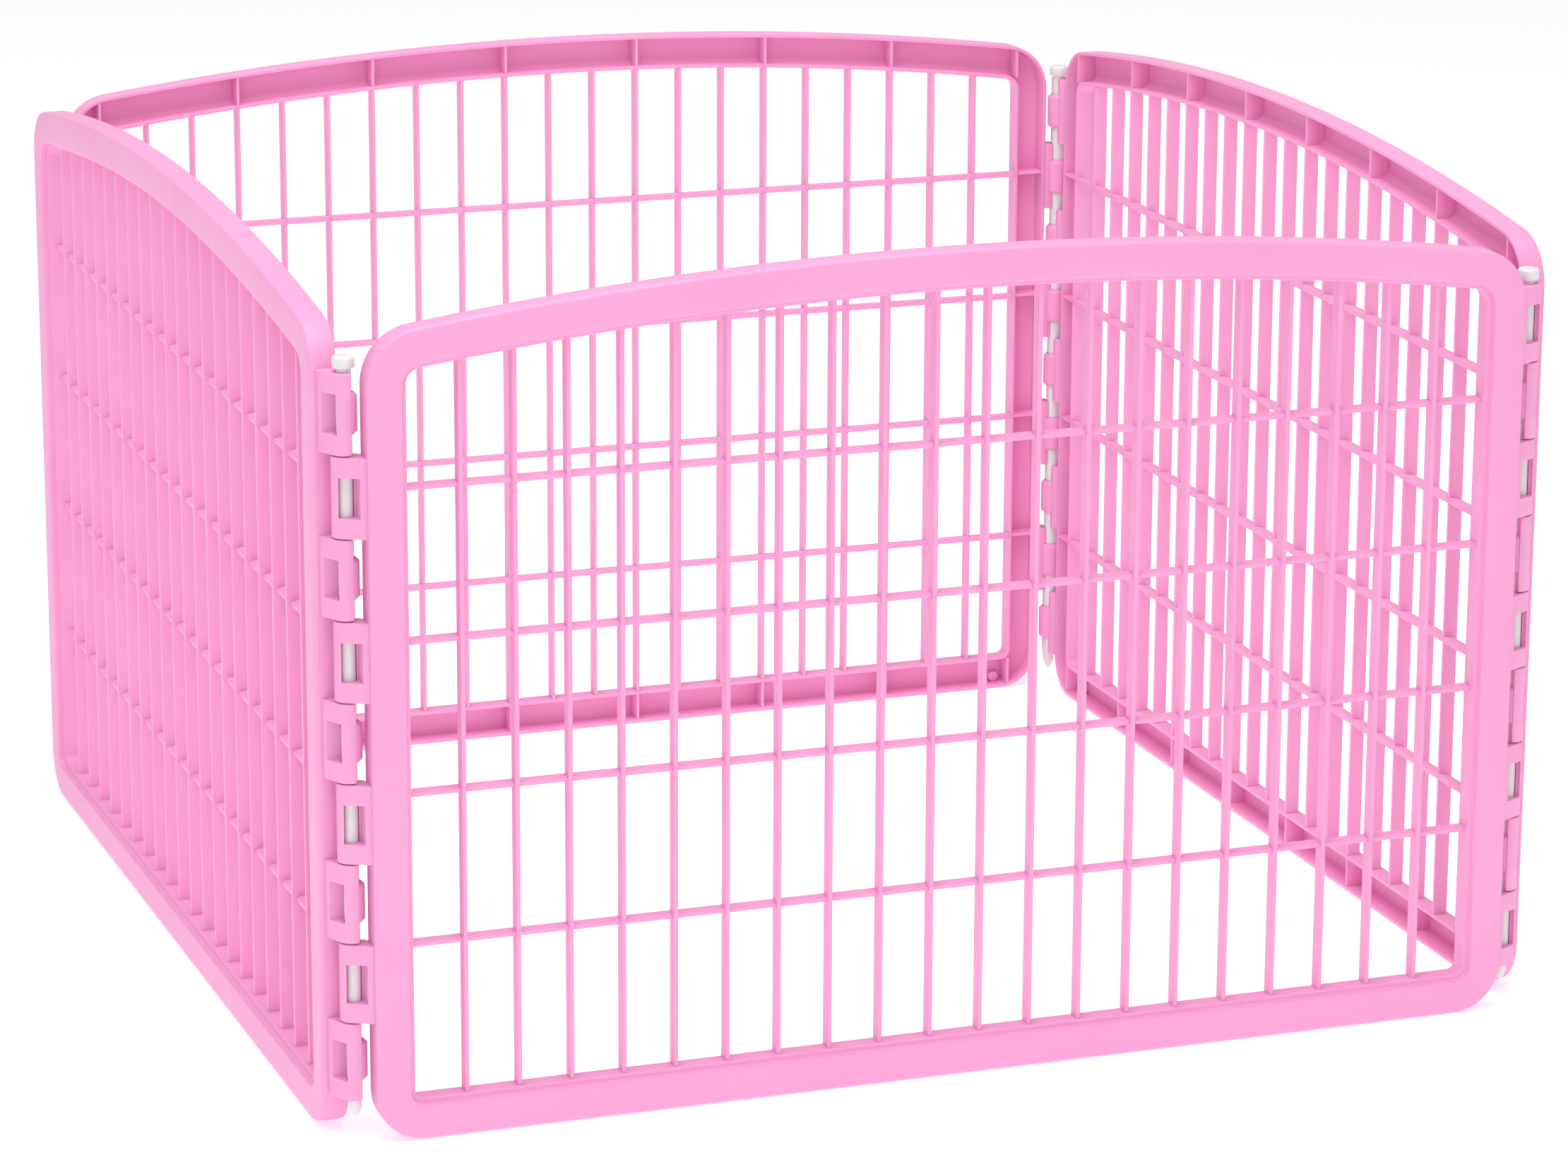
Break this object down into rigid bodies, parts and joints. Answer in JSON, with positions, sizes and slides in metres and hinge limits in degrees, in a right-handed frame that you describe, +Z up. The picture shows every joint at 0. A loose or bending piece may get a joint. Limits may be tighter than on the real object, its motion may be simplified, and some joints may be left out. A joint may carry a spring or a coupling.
{
  "type": "pet playpen",
  "caption": "Square pet playpen of moulded plastic grille panels with arched top rails, hinged at the corners on pull-out rods so the loop folds flat.",
  "frame": {"origin": "centre of the square pen on the floor", "axes": "+Z up; -Y towards the front panel; +X towards the right panel"},
  "size_m": [0.907, 0.907, 0.592],
  "materials": {
    "panel_plastic": "fine satin moulding grain",
    "rod_plastic": "smooth satin"
  },
  "bodies": {
    "front_panel": {"front_panel": "panel_plastic"},
    "right_panel": {"right_panel": "panel_plastic"},
    "back_panel": {"back_panel": "panel_plastic"},
    "left_panel": {"left_panel": "panel_plastic"},
    "rod_front_right": {"rod_front_right": "rod_plastic"},
    "rod_back_right": {"rod_back_right": "rod_plastic"},
    "rod_back_left": {"rod_back_left": "rod_plastic"},
    "rod_front_left": {"rod_front_left": "rod_plastic"}
  },
  "joints": [
    {"name": "left_fold", "type": "hinge", "parent": "front_panel", "child": "left_panel", "pos_m": [-0.4335, -0.4335, 0.3], "axis": [0, 0, 1], "range_deg": [-88, 88]},
    {"name": "right_fold", "type": "hinge", "parent": "front_panel", "child": "right_panel", "pos_m": [0.4335, -0.4335, 0.3], "axis": [0, 0, 1], "range_deg": [-88, 88]},
    {"name": "back_fold", "type": "hinge", "parent": "right_panel", "child": "back_panel", "pos_m": [0.4335, 0.4335, 0.3], "axis": [0, 0, 1], "range_deg": [-88, 88]},
    {"name": "rod_front_right_pull", "type": "slide", "parent": "front_panel", "child": "rod_front_right", "axis": [0, 0, 1], "range_m": [0, 0.55]},
    {"name": "rod_back_right_pull", "type": "slide", "parent": "right_panel", "child": "rod_back_right", "axis": [0, 0, 1], "range_m": [0, 0.55]},
    {"name": "rod_back_left_pull", "type": "slide", "parent": "back_panel", "child": "rod_back_left", "axis": [0, 0, 1], "range_m": [0, 0.55]},
    {"name": "rod_front_left_pull", "type": "slide", "parent": "left_panel", "child": "rod_front_left", "axis": [0, 0, 1], "range_m": [0, 0.55]}
  ],
  "couplings": [
    {"joint": "right_fold", "follows": "left_fold", "ratio": 1},
    {"joint": "back_fold", "follows": "left_fold", "ratio": -1}
  ]
}
